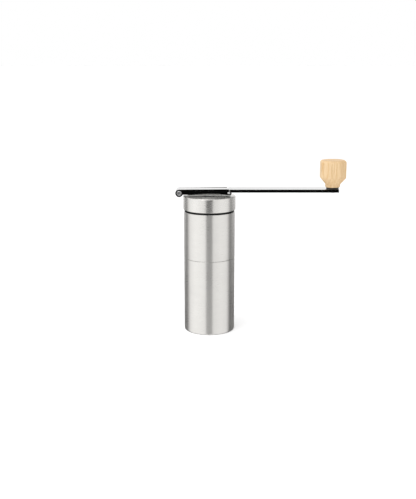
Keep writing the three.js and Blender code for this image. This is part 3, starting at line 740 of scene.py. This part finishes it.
def hinge_pin():
    """Rivet along Y, with a dished head at each end."""
    low, high = span("hinge_pin")
    end, shoulder, shank, dish = high.y, span("crank_bracket")[1].y + 0.1 * MM, 2.0 * MM, 1.35 * MM
    head = (high.z - low.z) / 2
    half = [(0, 0.3 * MM, 0), (dish, 0.3 * MM, 0.1 * MM), (dish + 0.2 * MM, 0, 0.1 * MM),
            (head - 0.35 * MM, 0, 0.2 * MM), (head, end - shoulder, 0.1 * MM), (shank, end - shoulder, 0)]
    outline = [(r, depth - end, fillet_radius) for r, depth, fillet_radius in half]
    outline += [(r, end - depth, fillet_radius) for r, depth, fillet_radius in reversed(half)]
    pin = revolve("rivet_pin", outline, FINE, at=(PIN_X, PIN_Z), along_y=True)
    finish_piece(pin, "handle", "hinge_pin", MATERIALS["steel"])


def hexagon(flats):
    return circle(0, 0, flats / math.sqrt(3), 6)


def crank_hub():
    low, high = span("crank_hub")
    web = web_bottom()
    body, neck, head, shoulder, head_low = 4.8 * MM, 3.6 * MM, high.x, web - 0.1 * MM, web + 1.5 * MM
    outline = [
        (0, low.z, 0), (body, low.z, 0.4 * MM), (body, shoulder, 0.3 * MM), (neck, shoulder, 0),
        (neck, head_low, 0), (head, head_low, 0.2 * MM), (head - 0.25 * MM, high.z - 0.6 * MM, 0.3 * MM),
        (head - 1.8 * MM, high.z, 0.8 * MM), (0, high.z, 0),
    ]
    hub = revolve("hub_boss", outline, FINE)
    socket_flats, socket_top = 5.3 * MM, 136.3 * MM
    socket = prism("hub_socket", hexagon(socket_flats), low.z - MM, socket_top)
    boolean(hub, socket, "DIFFERENCE")
    finish_piece(hub, "handle", "crank_hub", MATERIALS["steel"])


# ---------------------------------------------------------------- knob

KNOB_FACETS = 8


def crank_knob():
    """Eight-sided wooden knob with softened arrises, on a round neck, bored for its sleeve.
    Its skin is the reach of a ray from the middle to rounded planes, and its neck a cylinder."""
    low, high = span("crank_knob")
    centre = centre_of("crank_knob")
    across, neck, bore, bore_top = (high.y - low.y) / 2, 7.2 * MM, 4.9 * MM, 163 * MM
    taper_low, taper_top, crown = low.z + 3.3 * MM, low.z + 9.2 * MM, 1.4 * MM
    middle = 160 * MM
    sharpness, post_sharpness, join_sharpness = 60, 40, 30
    planes = [(Vector((0, 0, 1)), high.z - middle), (Vector((0, 0, -1)), middle - low.z + 1.2 * MM)]
    taper_run = across - neck
    taper_rise = taper_top - taper_low
    for k in range(KNOB_FACETS):
        angle = 2 * math.pi * k / KNOB_FACETS
        out = Vector((math.cos(angle), math.sin(angle), 0))
        planes.append((out, across))
        slope = (out * taper_rise - Vector((0, 0, 1)) * taper_run).normalized()
        planes.append((slope, slope.dot(out * across + Vector((0, 0, taper_top - middle)))))
        chamfer = (out + Vector((0, 0, 1))).normalized()
        planes.append((chamfer, chamfer.dot(out * across + Vector((0, 0, high.z - crown - middle)))))

    def reach(direction):
        total = sum(max(0.0, direction.dot(n) / d) ** sharpness for n, d in planes)
        skin = total ** (-1 / sharpness)
        flat = math.hypot(direction.x, direction.y)
        if direction.z >= 0 or flat < 1e-6:
            return skin
        to_wall = neck / flat
        to_floor = (middle - low.z) / -direction.z
        post = (to_wall ** -post_sharpness + to_floor ** -post_sharpness) ** (-1 / post_sharpness)
        return (skin ** join_sharpness + post ** join_sharpness) ** (1 / join_sharpness)

    sides, rows = 192, 150
    bore_angle = math.atan2(bore, middle - low.z)
    bm = bmesh.new()
    top = bm.verts.new((centre.x, centre.y, middle + reach(Vector((0, 0, 1)))))
    rings = [[top] * sides]
    for row in range(1, rows + 1):
        tilt = (math.pi - bore_angle) * row / rows
        ring = []
        for k in range(sides):
            angle = 2 * math.pi * k / sides
            d = Vector((math.sin(tilt) * math.cos(angle), math.sin(tilt) * math.sin(angle), math.cos(tilt)))
            p = d * reach(d)
            ring.append(bm.verts.new((centre.x + p.x, centre.y + p.y, middle + p.z)))
        rings.append(ring)
    for radius, z in ((bore, low.z + 0.4 * MM), (bore, bore_top), (0, bore_top)):
        if radius == 0:
            rings.append([bm.verts.new((centre.x, centre.y, z))] * sides)
            continue
        rings.append([bm.verts.new((centre.x + radius * math.cos(2 * math.pi * k / sides),
                                    centre.y + radius * math.sin(2 * math.pi * k / sides), z))
                      for k in range(sides)])
    for upper, lower in zip(rings, rings[1:]):
        for k in range(sides):
            corners = [upper[k], lower[k], lower[(k + 1) % sides], upper[(k + 1) % sides]]
            corners = list(dict.fromkeys(corners))
            if len(corners) > 2:
                bm.faces.new(corners)
    knob = from_bmesh("knob_block", bm)
    finish_piece(knob, "knob", "crank_knob", MATERIALS["wood"], smooth=50)


def knob_fittings():
    low, high = span("knob_spindle")
    x = centre_of("knob_spindle").x
    bar_low, bar_high = span("crank_arm")[1].z - BAR, span("crank_arm")[1].z
    head, tail, collar, stem, groove = 4.0 * MM, 2.6 * MM, 4.2 * MM, 3.0 * MM, 2.4 * MM
    outline = [
        (0, low.z, 0), (head - 1.1 * MM, low.z, 0.5 * MM), (head, bar_low - 0.1 * MM, 0.15 * MM),
        (tail, bar_low - 0.1 * MM, 0), (tail, bar_high + 0.1 * MM, 0),
        (collar, bar_high + 0.1 * MM, 0.15 * MM), (collar, bar_high + 0.8 * MM, 0.15 * MM),
        (stem, bar_high + 0.8 * MM, 0), (stem, high.z - 3 * MM, 0.1 * MM), (groove, high.z - 3 * MM, 0),
        (groove, high.z - 2 * MM, 0), (stem, high.z - 2 * MM, 0.1 * MM), (stem, high.z, 0.6 * MM),
        (0, high.z, 0),
    ]
    spindle = revolve("spindle_stud", outline, FINE, at=(x, 0))
    finish_piece(spindle, "arm", "knob_spindle", MATERIALS["knob_steel"])
    low, high = span("knob_washer")
    outer, recess, bore = (high.x - low.x) / 2, 4.4 * MM, 3.2 * MM
    outline = [
        (recess, low.z, HAIR), (outer, low.z, 0.2 * MM), (outer, high.z, 0.35 * MM), (bore, high.z, HAIR),
        (bore, low.z + 0.8 * MM, 0), (recess, low.z + 0.8 * MM, 0),
    ]
    washer = revolve("knob_ring", outline, FINE, at=(x, 0))
    finish_piece(washer, "arm", "knob_washer", MATERIALS["plastic"])
    sleeve("knob_sleeve", "knob_bushing", "knob", "nylon", 3.08 * MM, 0.2 * MM, FINE)


# ---------------------------------------------------------------- inside the body

BURR_TEETH = 12
SCREWS = ["burr_screw_1", "burr_screw_2", "burr_screw_3"]


def burr_housing():
    low, high = span("burr_housing")
    burr_low, burr_high = span("outer_burr")[0].z, span("outer_burr")[1].z
    outer, seat, shoulder, neck = high.x, 17.2 * MM, 15.6 * MM, 21.2 * MM
    seat_low = burr_low - 0.1 * MM
    seal_low, seal_high = span("cup_seal")[0].z - 0.1 * MM, span("cup_seal")[1].z + 0.1 * MM
    groove = span("cup_seal")[1].x - 1.1 * MM
    outline = [
        (outer, low.z, 0.6 * MM), (outer, seal_low, 0.1 * MM), (groove, seal_low, 0.1 * MM),
        (groove, seal_high, 0.1 * MM), (outer, seal_high, 0.1 * MM), (outer, high.z, HAIR),
        (outer - 0.8 * MM, high.z, 0.3 * MM),
        (shoulder, burr_high + 1.6 * MM, 0.8 * MM), (shoulder, burr_high + 0.2 * MM, HAIR),
        (seat, burr_high + 0.2 * MM, 0), (seat, seat_low, 0.2 * MM), (neck, seat_low, 0.4 * MM),
        (neck, low.z, 0.4 * MM),
    ]
    housing = revolve("housing_core", outline)
    for name in SCREWS:
        place = centre_of(name)
        hole = revolve("hole", [(0, low.z, 0), (1.1 * MM, low.z, 0), (1.1 * MM, seat_low + 8 * MM, 0),
                                (0, seat_low + 8 * MM, 0)], 32, at=(place.x, place.y))
        boolean(housing, hole, "DIFFERENCE")
    finish_piece(housing, "hopper", "burr_housing", MATERIALS["plastic"])


def burr_retainer():
    low, high = span("burr_retainer")
    outline = [
        (15.9 * MM, low.z, 0.25 * MM), (high.x, low.z, 0.25 * MM), (high.x, high.z, 0.25 * MM),
        (15.9 * MM, high.z, 0.25 * MM),
    ]
    plate = revolve("retainer_plate", outline)
    for name in SCREWS:
        place = centre_of(name)
        hole = revolve("hole", [(0, low.z - MM, 0), (1.25 * MM, low.z - MM, 0), (1.25 * MM, high.z + MM, 0),
                                (0, high.z + MM, 0)], 32, at=(place.x, place.y))
        boolean(plate, hole, "DIFFERENCE")
    finish_piece(plate, "hopper", "burr_retainer", MATERIALS["steel"])


def burr_screw(name):
    low, high = span(name)
    place = centre_of(name)
    head, shank, head_high = (high.x - low.x) / 2, 0.95 * MM, low.z + 1.2 * MM
    threads, pitch, thread_depth = 7, 0.8 * MM, 0.22 * MM
    outline = [(0, low.z, 0), (head, low.z, 0.5 * MM), (head, head_high, 0.1 * MM), (shank, head_high, 0)]
    for turn in range(threads):
        z = head_high + 2.2 * MM + turn * pitch
        outline += [(shank - thread_depth, z, 0), (shank, z + pitch / 2, 0)]
    outline += [(shank - 0.35 * MM, high.z, 0.1 * MM), (0, high.z, 0)]
    screw = revolve("retainer_" + name[5:], outline, 48, at=(place.x, place.y), steps=3)
    reach, half = head * 0.72, 0.28 * MM
    for turn in (0, 1):
        slot = [(-reach, -half), (reach, -half), (reach, half), (-reach, half)]
        if turn:
            slot = [(-b, a) for a, b in slot]
        slot = [(place.x + a, place.y + b) for a, b in slot]
        boolean(screw, prism("slot", slot, low.z - MM, low.z + 0.6 * MM), "DIFFERENCE")
    finish_piece(screw, "hopper", name, MATERIALS["steel"])


def tooth_depth(angle, z, twist):
    """Slanted saw tooth: 0 at the crest to 1 in the root."""
    phase = (angle / (2 * math.pi) + twist * z / MM) * BURR_TEETH
    phase -= math.floor(phase)
    return min(phase * 1.25, (1 - phase) * 5)


def burr_rows(points, step):
    """Adds rows between an outline's points, so that teeth can run along its long sides."""
    rows = []
    for (r0, z0, _), (r1, z1, _) in zip(points, points[1:] + points[:1]):
        count = max(1, round(math.hypot(r1 - r0, z1 - z0) / step))
        rows += [(r0 + (r1 - r0) * k / count, z0 + (z1 - z0) * k / count, 0) for k in range(count)]
    return rows


def outer_burr():
    low, high = span("outer_burr")
    outer, throat, mouth, mouth_out = high.x, 13.2 * MM, 14.6 * MM, 15.2 * MM
    throat_z = 75 * MM
    outline = burr_rows([
        (outer, low.z, 0), (outer, high.z, 0), (mouth, high.z, 0), (throat, throat_z, 0),
        (mouth_out, low.z, 0),
    ], 0.55 * MM)

    def shape(r, z, angle):
        if r > 16 * MM:
            return r
        return r + (0.5 * MM + 0.08 * (z - low.z)) * tooth_depth(angle, z, -0.012)

    burr = revolve("ring_burr", outline, 240, shape=shape)
    finish_piece(burr, "hopper", "outer_burr", MATERIALS["ceramic"], smooth=24)


def inner_burr():
    low, high = span("inner_burr")
    bore = 6.5 * MM
    outline = burr_rows([
        (bore, low.z, 0), (14.3 * MM, low.z, 0), (14.6 * MM, low.z + MM, 0), (11.6 * MM, 74 * MM, 0),
        (9.2 * MM, 78 * MM, 0), (7.4 * MM, high.z, 0), (bore, high.z, 0),
    ], 0.55 * MM)

    def shape(r, z, angle):
        if r < bore + 0.1 * MM:
            return r
        depth = min(0.4 * MM + 0.15 * (z - low.z), r - bore - 0.6 * MM)
        return r - max(depth, 0) * tooth_depth(angle, z, 0.012)

    burr = revolve("cone_burr", outline, 240, shape=shape)
    finish_piece(burr, "burr", "inner_burr", MATERIALS["ceramic"], smooth=24)


def burr_carrier():
    low, high = span("burr_carrier")
    bore, sleeve_radius, flange_high = 3.15 * MM, 6.3 * MM, low.z + 1.6 * MM
    outline = [
        (bore, low.z, 0.2 * MM), (high.x, low.z, 0.4 * MM), (high.x, flange_high, 0.3 * MM),
        (sleeve_radius, flange_high, 0.15 * MM), (sleeve_radius, high.z, 0.4 * MM), (bore, high.z, 0.2 * MM),
    ]
    carrier = revolve("carrier_sleeve", outline, FINE)
    finish_piece(carrier, "burr", "burr_carrier", MATERIALS["plastic"])


def bearing_spider():
    low, high = span("bearing_spider")
    outer, hub, bore, spoke = high.x, 6.8 * MM, 4.7 * MM, 2.0 * MM
    hub_low, rim_high = low.z + 3.6 * MM, low.z + 8.6 * MM
    rim = revolve("spider_frame", [
        (outer - 1.8 * MM, low.z, 0.3 * MM), (outer, low.z, 0.3 * MM), (outer, rim_high, 0.3 * MM),
        (outer - 1.8 * MM, rim_high, 0.3 * MM),
    ])
    for k in range(3):
        angle = math.pi / 2 + 2 * math.pi * k / 3
        along, aside = Vector((math.cos(angle), math.sin(angle))), Vector((-math.sin(angle), math.cos(angle)))
        root, tip = bore + 0.8 * MM, outer - MM
        ends = [(root, -spoke), (tip, -spoke), (tip, spoke), (root, spoke)]
        outline = [tuple(along * a + aside * b) for a, b in ends]
        boolean(rim, bevel(prism("spoke", outline, hub_low, rim_high), 0.4 * MM, 3), "UNION")
    post = revolve("hub", [
        (bore, hub_low, HAIR), (hub, hub_low, 0.4 * MM), (hub, high.z, 0.4 * MM), (bore, high.z, HAIR),
    ])
    boolean(rim, post, "UNION")
    finish_piece(rim, "hopper", "bearing_spider", MATERIALS["plastic"])


def bushings():
    """Flanged sleeves: one hangs in the hub from above, the other stands in it from below."""
    bore, sleeve_radius = 3.08 * MM, 4.6 * MM
    low, high = span("upper_bushing")
    outline = [
        (bore, low.z, 0.2 * MM), (sleeve_radius, low.z, 0.3 * MM), (sleeve_radius, high.z - 0.6 * MM, 0),
        (high.x, high.z - 0.6 * MM, 0.1 * MM), (high.x, high.z, 0.15 * MM), (bore, high.z, 0.25 * MM),
    ]
    finish_piece(revolve("top_bush", outline, FINE), "hopper", "upper_bushing",
                 MATERIALS["brass"])
    low, high = span("lower_bushing")
    outline = [
        (bore, low.z, 0.25 * MM), (high.x, low.z, 0.15 * MM), (high.x, low.z + 0.6 * MM, 0.1 * MM),
        (sleeve_radius, low.z + 0.6 * MM, 0), (sleeve_radius, high.z, 0.3 * MM), (bore, high.z, 0.2 * MM),
    ]
    finish_piece(revolve("bottom_bush", outline, FINE), "hopper", "lower_bushing",
                 MATERIALS["brass"])


def drive_shaft():
    low, high = span("drive_shaft")
    clip_low, clip_high = span("shaft_clip")[0].z - 0.1 * MM, span("shaft_clip")[1].z + 0.1 * MM
    radius, groove, hex_low = 3.0 * MM, 2.3 * MM, 125.5 * MM
    outline = [(0, low.z, 0), (radius - 0.5 * MM, low.z, 0), (radius, low.z + 0.5 * MM, 0)]
    for turn in range(10):
        z = low.z + (1.0 + turn * 0.9) * MM
        outline += [(radius, z, 0), (radius - 0.3 * MM, z + 0.3 * MM, 0), (radius, z + 0.6 * MM, 0)]
    outline += [
        (radius, clip_low, 0.1 * MM), (groove, clip_low, 0), (groove, clip_high, 0),
        (radius, clip_high, 0.1 * MM), (radius, hex_low, 0.3 * MM), (0, hex_low, 0),
    ]
    shaft = revolve("drive_rod", outline, FINE, steps=3)
    tip = bevel(prism("hex_tip", hexagon(5 * MM), hex_low - MM, high.z), 0.25 * MM, 3)
    boolean(shaft, tip, "UNION")
    finish_piece(shaft, "drive", "drive_shaft", MATERIALS["steel"])


def shaft_clip():
    low, high = span("shaft_clip")
    inner, outer, gap = 2.4 * MM, 5.2 * MM, 26
    outline = arc(0, 0, outer, gap, 360 - gap, 48) + arc(0, 0, inner, 360 - gap * 2, gap * 2, 32)
    clip = bevel(prism("retaining_clip", outline, low.z, high.z), 0.1 * MM, 2)
    finish_piece(clip, "drive", "shaft_clip", MATERIALS["steel"])
    sleeve("shaft_washer", "thrust_washer", "drive", "nylon", 3.2 * MM, 0.15 * MM, FINE)


def burr_spring():
    low, high = span("burr_spring")
    wire = 0.5 * MM
    radius, turns, steps = high.x - wire, 4.5, 216
    curve = bpy.data.curves.new("spring", "CURVE")
    curve.dimensions = "3D"
    curve.bevel_depth, curve.bevel_resolution, curve.use_fill_caps = wire * 0.98, 5, True
    spline = curve.splines.new("POLY")
    spline.points.add(steps)
    bottom, top = low.z + wire, high.z - wire
    for k, point in enumerate(spline.points):
        angle = turns * 2 * math.pi * k / steps
        z = bottom + (top - bottom) * k / steps
        point.co = (radius * math.cos(angle), radius * math.sin(angle), z, 1)
    shape = link("spring_shape", curve)
    mesh = bpy.data.meshes.new_from_object(shape.evaluated_get(bpy.context.evaluated_depsgraph_get()))
    bpy.data.objects.remove(shape)
    spring = link("cone_spring", mesh)
    finish_piece(spring, "drive", "burr_spring", MATERIALS["steel"], smooth=60)
    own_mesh(spring)


def adjustment_dial():
    low, high = span("adjustment_dial")
    bore, outer, scallops = 3.15 * MM, high.x, 8
    wheel = revolve("dial_wheel", [
        (bore, low.z, 0.2 * MM), (outer, low.z, 0.5 * MM), (outer, high.z, 0.5 * MM),
        (bore, high.z, 0.2 * MM),
    ], FINE)
    for k in range(scallops):
        angle = 2 * math.pi * k / scallops
        x, y = (outer + 1.1 * MM) * math.cos(angle), (outer + 1.1 * MM) * math.sin(angle)
        tool = revolve("scallop", [(0, low.z - MM, 0), (2 * MM, low.z - MM, 0),
                                   (2 * MM, high.z - 1.4 * MM, 0.6 * MM), (0, high.z - 1.4 * MM, 0)],
                       40, at=(x, y))
        boolean(wheel, tool, "DIFFERENCE")
    finish_piece(wheel, "dial", "adjustment_dial", MATERIALS["plastic"])


grounds_cup()
upper_body()
lid()
crank_bracket()
crank_arm()
hinge_pin()
crank_hub()
crank_knob()
knob_fittings()
burr_housing()
burr_retainer()
for screw_name in SCREWS:
    burr_screw(screw_name)
outer_burr()
inner_burr()
burr_carrier()
bearing_spider()
bushings()
drive_shaft()
shaft_clip()
burr_spring()
adjustment_dial()
